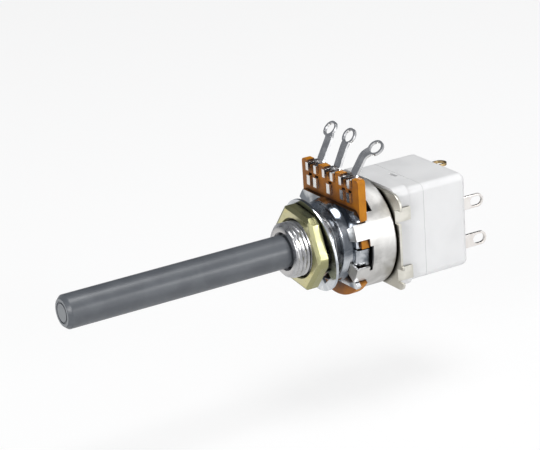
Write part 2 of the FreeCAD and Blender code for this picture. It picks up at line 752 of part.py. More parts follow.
def wiper_carrier():
    """Moulded disc with a flatted bore for the spindle's tail, a stop lug, a boss and the switch's blade."""
    bore = TAIL_DIAMETER / 2
    rim_back = carrier_front + CARRIER_THICKNESS * 0.6
    blade = block(
        (-TONGUE_BLADE_THICKNESS / 2, TONGUE_BLADE_THICKNESS / 2),
        (bracket_back, bracket_back + TONGUE_BLADE_REACH),
        (-TONGUE_BLADE_WIDTH / 2, TONGUE_BLADE_WIDTH / 2),
    )
    stop_front = can_back - CAN_WALL - STOP_DEPTH
    middle = 90 - WIPER_START
    lug_back = stop_front + STOP_DEPTH / 2
    lug = ring(STOP_OUTER_RADIUS, STOP_INNER_RADIUS, rim_back, lug_back)
    lug = lug.common(sector(
        CARRIER_DIAMETER,
        middle - STOP_LUG_ARC / 2,
        middle + STOP_LUG_ARC / 2,
        rim_back,
        lug_back,
    ))
    body = joined([
        disc(CARRIER_DIAMETER / 2, carrier_front, rim_back),
        disc(CARRIER_HUB_DIAMETER / 2, carrier_front, carrier_back),
        disc(CARRIER_BOSS_DIAMETER / 2, carrier_back, bracket_back),
        blade,
        lug,
    ])
    tail = disc(bore, carrier_front - 1, carrier_back)
    flat = block((-bore, bore), (carrier_front - 1, carrier_back), (TAIL_FLAT, bore + 1))
    return body.cut(tail.cut(flat))


def wiper_contact():
    """Sprung contact under the carrier, with a finger on each printed ring."""
    back = carrier_front
    front = back - WIPER_THICKNESS
    tip = board_back + TRACK_THICKNESS + WIPER_LIFT
    inner = journal_radius + SLIDING_CLEARANCE
    parts = [ring(CARRIER_HUB_DIAMETER / 2, inner, front, back)]
    arm_half = WIPER_ARM_WIDTH / 2
    parts.append(block((-arm_half, arm_half), (front, back), (inner + WIPER_THICKNESS, track_middle)))
    for middle in (track_middle, collector_middle):
        parts.append(block(
            (-WIPER_FINGER_WIDTH / 2, WIPER_FINGER_WIDTH / 2),
            (tip, back),
            (middle - WIPER_FINGER_LENGTH / 2, middle + WIPER_FINGER_LENGTH / 2),
        ))
    contact = joined(parts)
    contact.rotate(CENTRE, ALONG, WIPER_START)
    return contact


def bracket_blank():
    """The bracket's outline: a plate with rounded corners and a slight waist on each side."""
    half = BRACKET_WIDTH / 2
    plate = block((-half, half), (bracket_front, bracket_back), (-BRACKET_BOTTOM, BRACKET_TOP))
    plate = rounded(plate, BRACKET_TOP_CORNER, lambda edge: runs_along(edge) and edge.BoundBox.ZMax > 0)
    plate = rounded(plate, BRACKET_BOTTOM_CORNER, lambda edge: runs_along(edge) and edge.BoundBox.ZMax < 0)
    waist = block(
        (half - BRACKET_WAIST_DEPTH, BRACKET_WIDTH),
        (can_back, bracket_back + 1),
        (BRACKET_WAIST_BOTTOM, BRACKET_TAB_SPANS[0][0]),
    )
    return plate.cut(waist).cut(mirrored(waist))


def switch_bracket():
    """Thin plate behind the can, with four tabs bent back along the switch's sides."""
    plate = bracket_blank()
    pad = disc(BRACKET_PAD_DIAMETER / 2, can_back, bracket_front)
    hole = disc(BRACKET_HOLE_DIAMETER / 2, can_back - 1, bracket_back + 1)
    bracket = joined([plate, pad]).cut(hole)
    outside = BRACKET_TAB_SPREAD / 2
    inside = outside - BRACKET_THICKNESS
    for low, high in BRACKET_TAB_SPANS:
        notch = block((outside, BRACKET_WIDTH), (can_back - 1, bracket_back + 1), (low, high))
        tab = block((inside, outside), (bracket_front, bracket_back + BRACKET_TAB_LENGTH), (low, high))
        bracket = bracket.cut(notch).cut(mirrored(notch))
        bracket = joined([bracket, tab, mirrored(tab)])
    return bracket


def switch_box(half_width, half_height, front, back, corner):
    """A block with rounded corners along the axis."""
    box = block((-half_width, half_width), (front, back), (-half_height, half_height))
    return rounded(box, corner, runs_along)


def switch_front_housing():
    """Front half of the switch: an open box with a wider base and a hole for the cam's drive."""
    half_width = SWITCH_WIDTH / 2
    half_height = SWITCH_HEIGHT / 2
    base_back = bracket_back + SWITCH_BASE_DEPTH
    outside = joined([
        switch_box(
            half_width + SWITCH_BASE_SIDE_STEP,
            half_height + SWITCH_BASE_END_STEP,
            bracket_back,
            base_back,
            SWITCH_CORNER + SWITCH_BASE_SIDE_STEP,
        ),
        switch_box(half_width, half_height, base_back, switch_seam, SWITCH_CORNER),
    ])
    inside = block(
        (-half_width + SWITCH_WALL, half_width - SWITCH_WALL),
        (bracket_back + SWITCH_WALL, switch_seam + 1),
        (-half_height + SWITCH_WALL, half_height - SWITCH_WALL),
    )
    hole = disc(SWITCH_HOLE_DIAMETER / 2, bracket_back - 1, bracket_back + SWITCH_WALL + 1)
    slot = block(
        (-SWITCH_SLOT_LENGTH / 2, SWITCH_SLOT_LENGTH / 2),
        (switch_seam - SWITCH_SLOT_SETBACK - SWITCH_SLOT_HEIGHT, switch_seam - SWITCH_SLOT_SETBACK),
        (half_height - SWITCH_WALL / 2, half_height + 1),
    )
    return outside.cut(inside).cut(hole).cut(slot)


def switch_tag_opening(front, back):
    """The slots in the back wall through which the side tags pass."""
    half = SWITCH_TAG_THICKNESS / 2
    slots = []
    for x, z in side_tag_places():
        slots.append(block(
            (x - half, x + half),
            (front, back),
            (z - SWITCH_TAG_WIDTH / 2, z + SWITCH_TAG_WIDTH / 2),
        ))
    slots.append(block(
        (TOP_TAG_OFFSET - SWITCH_TAG_WIDTH / 2, TOP_TAG_OFFSET + SWITCH_TAG_WIDTH / 2),
        (front, back),
        (TOP_TAG_HEIGHT - half, TOP_TAG_HEIGHT + half),
    ))
    return slots


def side_tag_places():
    """The (x, z) places of the three tags that stand upright."""
    return [
        (SWITCH_TAG_OFFSET, SWITCH_TAG_UPPER),
        (SWITCH_TAG_OFFSET, SWITCH_TAG_LOWER),
        (-SWITCH_TAG_OFFSET, SWITCH_TAG_LOWER),
    ]


def switch_rear_housing():
    """Rear half of the switch: an open box with the cam's pivot post and the tags' slots."""
    half_width = SWITCH_WIDTH / 2
    half_height = SWITCH_HEIGHT / 2
    outside = switch_box(half_width, half_height, switch_seam, switch_back, SWITCH_CORNER)
    outside = rounded(outside, SWITCH_BACK_ROUND, lambda edge: lies_at(edge, switch_back))
    inside = block(
        (-half_width + SWITCH_WALL, half_width - SWITCH_WALL),
        (switch_seam - 1, switch_back - SWITCH_BACK_WALL),
        (-half_height + SWITCH_WALL, half_height - SWITCH_WALL),
    )
    post_front = cam_front + CAM_HUB_DEPTH
    shoulder_front = cam_back + SLIDING_CLEARANCE
    post = disc(PIVOT_DIAMETER / 2, post_front, switch_back - SWITCH_BACK_WALL)
    shoulder = disc(PIVOT_SHOULDER_DIAMETER / 2, shoulder_front, switch_back - SWITCH_BACK_WALL)
    housing = joined([outside.cut(inside), post, shoulder])
    for slot in switch_tag_opening(switch_back - SWITCH_BACK_WALL - 1, switch_back + 1):
        housing = housing.cut(slot)
    return housing


def tag_loop(inner_end, reach):
    """Flat switch tag lying in the XY plane: blade, round end and long eye."""
    half = SWITCH_TAG_THICKNESS / 2
    width = SWITCH_TAG_WIDTH / 2
    tip = switch_back + reach
    blade = block((-width, width), (inner_end, tip - width), (-half, half))
    end = Part.makeCylinder(width, 2 * half, FreeCAD.Vector(0, tip - width, -half), FreeCAD.Vector(0, 0, 1))
    slot_half = SWITCH_TAG_SLOT_WIDTH / 2
    slot_back = tip - (width - slot_half)
    slot_front = slot_back - SWITCH_TAG_SLOT_LENGTH
    cut = block((-slot_half, slot_half), (slot_front + slot_half, slot_back - slot_half), (-1, 1))
    for y in (slot_front + slot_half, slot_back - slot_half):
        cut = cut.fuse(Part.makeCylinder(slot_half, 2, FreeCAD.Vector(0, y, -1), FreeCAD.Vector(0, 0, 1)))
    return joined([blade, end]).cut(cut)


def near_upper_switch_tag():
    """Upper tag on the near side: its inner end carries a leaf contact."""
    loop = tag_loop(LEAF_PLANES[0], UPPER_SWITCH_TAG_REACH)
    loop.rotate(CENTRE, ALONG, 90)
    x, z = side_tag_places()[0]
    loop.translate(FreeCAD.Vector(x, 0, z))
    return loop


def lower_switch_tag(plane):
    """Lower tag, with its inner end folded under the leaf and up to form the fixed contact."""
    half = SWITCH_TAG_THICKNESS / 2
    loop = tag_loop(plane, LOWER_SWITCH_TAG_REACH)
    loop.rotate(CENTRE, ALONG, 90)
    loop.translate(FreeCAD.Vector(SWITCH_TAG_OFFSET, 0, SWITCH_TAG_LOWER))
    depth = (plane, plane + LEAF_WIDTH)
    contact_face = leaf_face - CONTACT_GAP
    floor = block(
        (contact_face - 2 * half, SWITCH_TAG_OFFSET + half),
        depth,
        (-CONTACT_STEM_BOTTOM, -CONTACT_STEM_BOTTOM + 2 * half),
    )
    side = block(
        (SWITCH_TAG_OFFSET - half, SWITCH_TAG_OFFSET + half),
        depth,
        (-CONTACT_STEM_BOTTOM, SWITCH_TAG_LOWER),
    )
    contact = block(
        (contact_face - 2 * half, contact_face),
        depth,
        (-CONTACT_STEM_BOTTOM, -LEAF_BOTTOM + CONTACT_OVERLAP),
    )
    return joined([loop, side, floor, contact])


def near_lower_switch_tag():
    """Lower tag on the near side."""
    return lower_switch_tag(LEAF_PLANES[0])


def far_lower_switch_tag():
    """Lower tag on the far side."""
    return mirrored(lower_switch_tag(LEAF_PLANES[1]))


def far_upper_switch_tag():
    """Upper tag on the far side, lying flat, with a leg down to carry the second leaf contact."""
    half = SWITCH_TAG_THICKNESS / 2
    loop = tag_loop(LEAF_PLANES[1], UPPER_SWITCH_TAG_REACH)
    loop.translate(FreeCAD.Vector(TOP_TAG_OFFSET, 0, TOP_TAG_HEIGHT))
    depth = (LEAF_PLANES[1], LEAF_PLANES[1] + LEAF_WIDTH)
    shelf = block(
        (-SWITCH_TAG_OFFSET - half, TOP_TAG_OFFSET),
        depth,
        (TOP_TAG_HEIGHT - half, TOP_TAG_HEIGHT + half),
    )
    leg = block(
        (-SWITCH_TAG_OFFSET - half, -SWITCH_TAG_OFFSET + half),
        depth,
        (SWITCH_TAG_UPPER - SWITCH_TAG_WIDTH / 2, TOP_TAG_HEIGHT + half),
    )
    return joined([loop, shelf, leg])


def switch_cam():
    """Cam on the pivot post: a slot for the carrier's blade in front, and one lobe for each leaf."""
    hub_back = cam_front + CAM_HUB_DEPTH
    body = joined([
        disc(CAM_HUB_DIAMETER / 2, cam_front, hub_back),
        disc(CAM_BASE_DIAMETER / 2, hub_back, cam_back),
    ])
    lobes = []
    for middle, plane in zip((0.0, 180.0), LEAF_PLANES):
        start = middle - CAM_LOBE_ARC / 2
        wedge = sector(SWITCH_WIDTH, start, start + CAM_LOBE_ARC, plane, plane + LEAF_WIDTH)
        lobes.append(wedge.common(disc(CAM_LOBE_REACH, plane, plane + LEAF_WIDTH)))
    slot_back = bracket_back + TONGUE_BLADE_REACH + SLIDING_CLEARANCE
    slot_half = TONGUE_BLADE_THICKNESS / 2 + RUNNING_CLEARANCE
    slot_length = TONGUE_BLADE_WIDTH / 2 + SLIDING_CLEARANCE
    slot = block((-slot_half, slot_half), (cam_front - 1, slot_back), (-slot_length, slot_length))
    bore = disc(PIVOT_DIAMETER / 2 + RUNNING_CLEARANCE, hub_back - SEAT_GAP, cam_back + 1)
    return joined([body] + lobes).cut(slot).cut(bore)


def leaf_contact(plane):
    """Leaf held at its top by the upper tag: a follower faces the cam, the free end the fixed contact."""
    depth = (plane, plane + LEAF_WIDTH)
    leaf = block((leaf_face, leaf_face + LEAF_THICKNESS), depth, (-LEAF_BOTTOM, LEAF_TOP))
    follower = disc(LEAF_FOLLOWER, *depth, leaf_face)
    inner = block((0, leaf_face), depth, (-LEAF_FOLLOWER, LEAF_FOLLOWER))
    return joined([leaf, follower.common(inner)])


def near_leaf_contact():
    """Moving contact of the near pole."""
    return leaf_contact(LEAF_PLANES[0])


def far_leaf_contact():
    """Moving contact of the far pole."""
    return mirrored(leaf_contact(LEAF_PLANES[1]))


PIECES = [
    spindle,
    retaining_clip,
    threaded_bush,
    hex_nut,
    locating_washer,
    front_plate,
    track_board,
    carbon_track,
    collector_track,
    left_tag,
    centre_tag,
    right_tag,
    rear_can,
    wiper_carrier,
    wiper_contact,
    switch_bracket,
    switch_front_housing,
    switch_rear_housing,
    near_upper_switch_tag,
    near_lower_switch_tag,
    far_upper_switch_tag,
    far_lower_switch_tag,
    switch_cam,
    near_leaf_contact,
    far_leaf_contact,
]

os.makedirs("parts", exist_ok=True)
for piece in PIECES:
    shape = piece()
    solids = len(shape.Solids)
    print(piece.__name__, "solids", solids, "volume", round(shape.Volume, 3), "valid", shape.isValid())
    shape.exportStep("parts/" + piece.__name__ + ".step")
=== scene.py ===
import json
import math
import bpy
import bmesh
from mathutils import Matrix, Vector


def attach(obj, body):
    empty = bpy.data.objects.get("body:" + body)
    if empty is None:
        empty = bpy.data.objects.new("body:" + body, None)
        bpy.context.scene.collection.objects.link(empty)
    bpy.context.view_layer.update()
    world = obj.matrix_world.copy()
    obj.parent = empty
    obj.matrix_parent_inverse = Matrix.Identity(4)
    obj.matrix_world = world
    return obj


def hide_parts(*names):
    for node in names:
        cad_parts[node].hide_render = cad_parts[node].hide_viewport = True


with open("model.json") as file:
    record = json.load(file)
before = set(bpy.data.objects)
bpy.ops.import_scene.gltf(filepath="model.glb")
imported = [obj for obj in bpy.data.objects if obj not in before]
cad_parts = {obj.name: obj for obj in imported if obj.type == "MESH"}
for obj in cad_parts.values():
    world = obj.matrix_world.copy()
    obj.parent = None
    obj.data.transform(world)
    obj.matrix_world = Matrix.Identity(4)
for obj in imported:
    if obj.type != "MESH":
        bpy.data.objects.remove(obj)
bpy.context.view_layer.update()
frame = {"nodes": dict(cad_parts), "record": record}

# The camera stands in front, well round to the side of the switch tags and a little above.
# Its place, tilt and reach were solved from the spindle, the bush, the plate and the tags in the photo.
MM = 0.001
CAMERA_AZIMUTH = 59.8
CAMERA_ELEVATION = 19.87
CAMERA_ROLL = 3.9
CAMERA_DISTANCE_MM = 402.0
PIXELS_PER_MM = 5.66
PHOTO_WIDTH = 540
PHOTO_HEIGHT = 450
AIM_PIXEL_X = 329.3
AIM_PIXEL_Y = 238.8
AIM_POINT_MM = Vector((0.0, 1.6, 0.0))
SENSOR_MM = 36.0
NEAREST_SEEN = 0.01
FARTHEST_SEEN = 10.0

azimuth = math.radians(CAMERA_AZIMUTH)
elevation = math.radians(CAMERA_ELEVATION)
roll = math.radians(CAMERA_ROLL)
back = Vector((
    math.sin(azimuth) * math.cos(elevation),
    -math.cos(azimuth) * math.cos(elevation),
    math.sin(elevation),
))
level_right = Vector((math.cos(azimuth), math.sin(azimuth), 0.0))
level_up = back.cross(level_right)
camera_right = level_right * math.cos(roll) - level_up * math.sin(roll)
camera_up = level_right * math.sin(roll) + level_up * math.cos(roll)
camera_place = (
    AIM_POINT_MM
    - camera_right * (AIM_PIXEL_X - PHOTO_WIDTH / 2) / PIXELS_PER_MM
    - camera_up * (PHOTO_HEIGHT / 2 - AIM_PIXEL_Y) / PIXELS_PER_MM
    + back * CAMERA_DISTANCE_MM
)
camera_data = bpy.data.cameras.new("camera")
camera_data.sensor_width = SENSOR_MM
camera_data.lens = CAMERA_DISTANCE_MM * PIXELS_PER_MM / PHOTO_WIDTH * SENSOR_MM
camera_data.clip_start = NEAREST_SEEN
camera_data.clip_end = FARTHEST_SEEN
camera = bpy.data.objects.new("camera", camera_data)
turn = Matrix((camera_right, camera_up, back)).transposed()
camera.matrix_world = Matrix.Translation(camera_place * MM) @ turn.to_4x4()
bpy.context.scene.collection.objects.link(camera)
bpy.context.scene.camera = camera

# The studio is a pale sweep that the camera sees as nearly white, with soft lamps round the part.
# Metal mirrors a plain room with bright patches and small dark screens, so that its edges read.
# The floor keeps a faint shadow of the part, and is clear when seen from below.
BACKDROP_WHITE = 1.0
ROOM_STRENGTH = 0.78
ROOM_COLOUR = (0.60, 0.61, 0.63, 1.0)
# Each patch: the way it lies, the cosines at its rim and where it is full, and its colour.
ROOM_PATCHES = {
    "pale_floor": ((0.0, 0.0, -1.0), 0.15, 0.80, (0.92, 0.92, 0.92, 1.0)),
    "dim_ceiling": ((0.0, 0.0, 1.0), 0.20, 0.90, (0.36, 0.37, 0.39, 1.0)),
    "dim_wall_in_front": ((-0.70, -0.60, 0.38), 0.75, 0.95, (0.25, 0.26, 0.28, 1.0)),
    "dark_corner_behind": ((-0.56, 0.49, 0.66), 0.60, 0.88, (0.07, 0.075, 0.08, 1.0)),
    "high_sheet_at_tags": ((0.45, 0.47, 0.76), 0.78, 0.95, (0.66, 0.66, 0.66, 1.0)),
    "dark_screen_at_tags": ((0.80, 0.47, 0.38), 0.935, 0.985, (0.14, 0.15, 0.16, 1.0)),
    "low_window_at_tags": ((0.86, 0.48, -0.06), 0.90, 0.975, (1.9, 1.9, 1.92, 1.0)),
    "dark_screen_in_front": ((-0.68, -0.72, -0.12), 0.945, 0.985, (0.04, 0.05, 0.07, 1.0)),
    "low_window_in_front": ((-0.82, -0.44, -0.36), 0.965, 0.990, (1.25, 1.22, 1.18, 1.0)),
}

scene = bpy.context.scene
scene.view_settings.view_transform = "Standard"
world = bpy.data.worlds.new("studio")
scene.world = world
world.use_nodes = True
room = world.node_tree
room.nodes.clear()
room_out = room.nodes.new("ShaderNodeOutputWorld")
backdrop = room.nodes.new("ShaderNodeBackground")
backdrop.inputs["Color"].default_value = (1.0, 1.0, 1.0, 1.0)
backdrop.inputs["Strength"].default_value = BACKDROP_WHITE
mirrored_room = room.nodes.new("ShaderNodeBackground")
mirrored_room.inputs["Strength"].default_value = ROOM_STRENGTH
looking = room.nodes.new("ShaderNodeTexCoord")


def room_share(towards, start, end):
    """How far a direction of the room lies towards the given one, from 0 at start to 1 at end."""
    dot = room.nodes.new("ShaderNodeVectorMath")
    dot.operation = "DOT_PRODUCT"
    dot.inputs[1].default_value = Vector(towards).normalized()
    share = room.nodes.new("ShaderNodeMapRange")
    share.interpolation_type = "SMOOTHSTEP"
    share.inputs["From Min"].default_value = start
    share.inputs["From Max"].default_value = end
    room.links.new(looking.outputs["Generated"], dot.inputs[0])
    room.links.new(dot.outputs["Value"], share.inputs["Value"])
    return share.outputs["Result"]


def room_blend(share, under, over):
    """The room's colour with another laid over it where the share is high."""
    mix = room.nodes.new("ShaderNodeMix")
    mix.data_type = "RGBA"
    room.links.new(share, mix.inputs["Factor"])
    under_socket, over_socket = [entry for entry in mix.inputs if entry.type == "RGBA"]
    if isinstance(under, bpy.types.NodeSocket):
        room.links.new(under, under_socket)
    else:
        under_socket.default_value = under
    over_socket.default_value = over
    return [entry for entry in mix.outputs if entry.type == "RGBA"][0]


tone = ROOM_COLOUR
for towards, rim, full, patch_colour in ROOM_PATCHES.values():
    tone = room_blend(room_share(towards, rim, full), tone, patch_colour)
camera_ray = room.nodes.new("ShaderNodeLightPath")
room_mix = room.nodes.new("ShaderNodeMixShader")
room.links.new(tone, mirrored_room.inputs["Color"])
room.links.new(camera_ray.outputs["Is Camera Ray"], room_mix.inputs["Fac"])
room.links.new(mirrored_room.outputs["Background"], room_mix.inputs[1])
room.links.new(backdrop.outputs["Background"], room_mix.inputs[2])
room.links.new(room_mix.outputs["Shader"], room_out.inputs["Surface"])


def soft_lamp(name, place, size, power):
    """A round area lamp that points at the part."""
    data = bpy.data.lights.new(name, "AREA")
    data.shape = "DISK"
    data.size = size
    data.energy = power
    lamp = bpy.data.objects.new(name, data)
    lamp.location = place
    aim = -Vector(place)
    lamp.rotation_euler = aim.to_track_quat("-Z", "Y").to_euler()
    scene.collection.objects.link(lamp)


soft_lamp("top_lamp", place=(0.05, 0.05, 0.50), size=0.28, power=1.45)
soft_lamp("side_lamp", place=(0.42, 0.24, 0.15), size=0.14, power=0.48)
soft_lamp("front_lamp", place=(0.22, -0.42, 0.16), size=0.20, power=1.0)

FLOOR_HEIGHT = -0.030
FLOOR_RADIUS = 1.5
FLOOR_SIDES = 64
FLOOR_COLOUR = (0.88, 0.88, 0.88, 1.0)
FLOOR_GLOW = 1.04
FLOOR_GLOW_SHARE = 0.75
floor_mesh = bpy.data.meshes.new("floor")
floor_shape = bmesh.new()
bmesh.ops.create_circle(floor_shape, cap_ends=True, segments=FLOOR_SIDES, radius=FLOOR_RADIUS)
floor_shape.to_mesh(floor_mesh)
floor_shape.free()
floor = bpy.data.objects.new("floor", floor_mesh)
floor.location = (0.0, 0.0, FLOOR_HEIGHT)
scene.collection.objects.link(floor)
floor_paint = bpy.data.materials.new("floor_paint")
floor_paint.use_nodes = True
floor_nodes = floor_paint.node_tree
floor_nodes.nodes.clear()
floor_out = floor_nodes.nodes.new("ShaderNodeOutputMaterial")
floor_matt = floor_nodes.nodes.new("ShaderNodeBsdfDiffuse")
floor_matt.inputs["Color"].default_value = FLOOR_COLOUR
floor_white = floor_nodes.nodes.new("ShaderNodeEmission")
floor_white.inputs["Strength"].default_value = FLOOR_GLOW
floor_ray = floor_nodes.nodes.new("ShaderNodeLightPath")
floor_seen = floor_nodes.nodes.new("ShaderNodeMath")
floor_seen.operation = "MULTIPLY"
floor_seen.inputs[1].default_value = FLOOR_GLOW_SHARE
floor_mix = floor_nodes.nodes.new("ShaderNodeMixShader")
floor_nodes.links.new(floor_ray.outputs["Is Camera Ray"], floor_seen.inputs[0])
floor_nodes.links.new(floor_seen.outputs["Value"], floor_mix.inputs["Fac"])
floor_nodes.links.new(floor_matt.outputs["BSDF"], floor_mix.inputs[1])
floor_nodes.links.new(floor_white.outputs["Emission"], floor_mix.inputs[2])
floor_side = floor_nodes.nodes.new("ShaderNodeNewGeometry")
floor_open = floor_nodes.nodes.new("ShaderNodeBsdfTransparent")
floor_one_way = floor_nodes.nodes.new("ShaderNodeMixShader")
floor_nodes.links.new(floor_side.outputs["Backfacing"], floor_one_way.inputs["Fac"])
floor_nodes.links.new(floor_mix.outputs["Shader"], floor_one_way.inputs[1])
floor_nodes.links.new(floor_open.outputs["BSDF"], floor_one_way.inputs[2])
floor_nodes.links.new(floor_one_way.outputs["Shader"], floor_out.inputs["Surface"])
floor_mesh.materials.append(floor_paint)
floor.visible_glossy = False

# The spindle is a moulded grey rod with a satin skin, bevelled at the end, where its face is paler.
# Its surface has faint lines along its length, from the mould, and soft patches of tone.
record_bodies = frame["record"]["behaviour"]["bodies"]
body_of_node = {node: body for body, nodes in record_bodies.items() for node in nodes}
WELD_DISTANCE = 1e-7
FLAT_DEGREES = 0.4
LINES_DETAIL = 4.0
CLOUDS_DETAIL = 6.0
CREASE_SAMPLES = 8
FACING_BEGINS = 0.80
FACING_FULLY = 0.95


def stand_for(piece, node):
    """The piece is shown in place of the solid, on the same body."""
    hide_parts(node)
    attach(piece, body_of_node[node])


def settle(piece):
    """Makes the piece's modifiers a lasting part of its mesh."""
    ready = piece.evaluated_get(bpy.context.evaluated_depsgraph_get())
    finished = bpy.data.meshes.new_from_object(ready)
    piece.modifiers.clear()
    piece.data = finished


def softened(node, edge_mm, segments=2, sharp_degrees=28.0):
    """A copy of a solid with its sharp corners rounded, evenly shaded, which stands for the solid."""
    source = frame["nodes"][node]
    shape = bmesh.new()
    shape.from_mesh(source.data)
    bmesh.ops.remove_doubles(shape, verts=shape.verts, dist=WELD_DISTANCE)
    bmesh.ops.dissolve_limit(
        shape,
        angle_limit=math.radians(FLAT_DEGREES),
        verts=shape.verts,
        edges=shape.edges,
        delimit={"NORMAL"},
    )
    mesh = bpy.data.meshes.new(node + "_form")
    shape.to_mesh(mesh)
    shape.free()
    piece = bpy.data.objects.new(node + "_form", mesh)
    scene.collection.objects.link(piece)
    round_over = piece.modifiers.new("round_over", "BEVEL")
    round_over.width = edge_mm * MM
    round_over.segments = segments
    round_over.limit_method = "ANGLE"
    round_over.angle_limit = math.radians(sharp_degrees)
    round_over.use_clamp_overlap = True
    round_over.miter_outer = "MITER_ARC"
    settle(piece)
    piece.data.shade_smooth()
    piece.data.set_sharp_from_angle(angle=math.radians(sharp_degrees))
    piece.modifiers.new("even_shading", "WEIGHTED_NORMAL").keep_sharp = True
    settle(piece)
    stand_for(piece, node)
    return piece


def effect_group(name, inputs, outputs):
    """An empty shader group with named sockets."""
    group = bpy.data.node_groups.new(name, "ShaderNodeTree")
    for label, value in inputs:
        socket = group.interface.new_socket(label, in_out="INPUT", socket_type="NodeSocketFloat")
        socket.default_value = value
    for label, kind in outputs:
        group.interface.new_socket(label, in_out="OUTPUT", socket_type=kind)
    return group, group.nodes.new("NodeGroupInput"), group.nodes.new("NodeGroupOutput")


def drawn_lines_group():
    """Fine lines along one axis of the part, as a mask: X, Y and Z stretch them."""
    group, given, made = effect_group(
        "drawn_lines",
        [("Scale", 900.0), ("X", 1.0), ("Y", 0.04), ("Z", 1.0)],
        [("Mask", "NodeSocketFloat")],
    )
    place = group.nodes.new("ShaderNodeTexCoord")
    stretch = group.nodes.new("ShaderNodeCombineXYZ")
    scaled = group.nodes.new("ShaderNodeVectorMath")
    scaled.operation = "MULTIPLY"
    lines = group.nodes.new("ShaderNodeTexNoise")
    lines.inputs["Detail"].default_value = LINES_DETAIL
    for axis in "XYZ":
        group.links.new(given.outputs[axis], stretch.inputs[axis])
    group.links.new(place.outputs["Object"], scaled.inputs[0])
    group.links.new(stretch.outputs["Vector"], scaled.inputs[1])
    group.links.new(scaled.outputs["Vector"], lines.inputs["Vector"])
    group.links.new(given.outputs["Scale"], lines.inputs["Scale"])
    group.links.new(lines.outputs["Fac"], made.inputs["Mask"])
    return group


def clouds_group():
    """Soft patches, as a mask between Low and High of the noise."""
    group, given, made = effect_group(
        "clouds",
        [("Scale", 300.0), ("Low", 0.4), ("High", 0.6), ("Swirl", 0.3)],
        [("Mask", "NodeSocketFloat")],
    )
    place = group.nodes.new("ShaderNodeTexCoord")
    patches = group.nodes.new("ShaderNodeTexNoise")
    patches.inputs["Detail"].default_value = CLOUDS_DETAIL
    spread = group.nodes.new("ShaderNodeMapRange")
    spread.interpolation_type = "SMOOTHSTEP"
    group.links.new(place.outputs["Object"], patches.inputs["Vector"])
    group.links.new(given.outputs["Scale"], patches.inputs["Scale"])
    group.links.new(given.outputs["Swirl"], patches.inputs["Distortion"])
    group.links.new(patches.outputs["Fac"], spread.inputs["Value"])
    group.links.new(given.outputs["Low"], spread.inputs["From Min"])
    group.links.new(given.outputs["High"], spread.inputs["From Max"])
    group.links.new(spread.outputs["Result"], made.inputs["Mask"])
    return group


def creases_group():
    """Corners and narrow gaps, as a mask for painted shade: Reach is how far away, in mm, another face
    still counts.
    """
    group, given, made = effect_group(
        "creases",
        [("Reach", 0.5), ("Low", 0.15), ("High", 0.75)],
        [("Mask", "NodeSocketFloat")],
    )
    metres = group.nodes.new("ShaderNodeMath")
    metres.operation = "MULTIPLY"
    metres.inputs[1].default_value = MM
    openness = group.nodes.new("ShaderNodeAmbientOcclusion")
    openness.samples = CREASE_SAMPLES
    closed = group.nodes.new("ShaderNodeMath")
    closed.operation = "SUBTRACT"
    closed.inputs[0].default_value = 1.0
    spread = group.nodes.new("ShaderNodeMapRange")
    spread.interpolation_type = "SMOOTHSTEP"
    group.links.new(given.outputs["Reach"], metres.inputs[0])
    group.links.new(metres.outputs["Value"], openness.inputs["Distance"])
    group.links.new(openness.outputs["AO"], closed.inputs[1])
    group.links.new(closed.outputs["Value"], spread.inputs["Value"])
    group.links.new(given.outputs["Low"], spread.inputs["From Min"])
    group.links.new(given.outputs["High"], spread.inputs["From Max"])
    group.links.new(spread.outputs["Result"], made.inputs["Mask"])
    return group


def facing_group():
    """The faces that look one way along the part, as a mask."""
    group, given, made = effect_group(
        "facing",
        [("X", 0.0), ("Y", -1.0), ("Z", 0.0)],
        [("Mask", "NodeSocketFloat")],
    )
    place = group.nodes.new("ShaderNodeTexCoord")
    way = group.nodes.new("ShaderNodeCombineXYZ")
    dot = group.nodes.new("ShaderNodeVectorMath")
    dot.operation = "DOT_PRODUCT"
    spread = group.nodes.new("ShaderNodeMapRange")
    spread.inputs["From Min"].default_value = FACING_BEGINS
    spread.inputs["From Max"].default_value = FACING_FULLY
    for axis in "XYZ":
        group.links.new(given.outputs[axis], way.inputs[axis])
    group.links.new(place.outputs["Normal"], dot.inputs[0])
    group.links.new(way.outputs["Vector"], dot.inputs[1])
    group.links.new(dot.outputs["Value"], spread.inputs["Value"])
    group.links.new(spread.outputs["Result"], made.inputs["Mask"])
    return group


DRAWN_LINES = drawn_lines_group()
CLOUDS = clouds_group()
CREASES = creases_group()
FACING = facing_group()


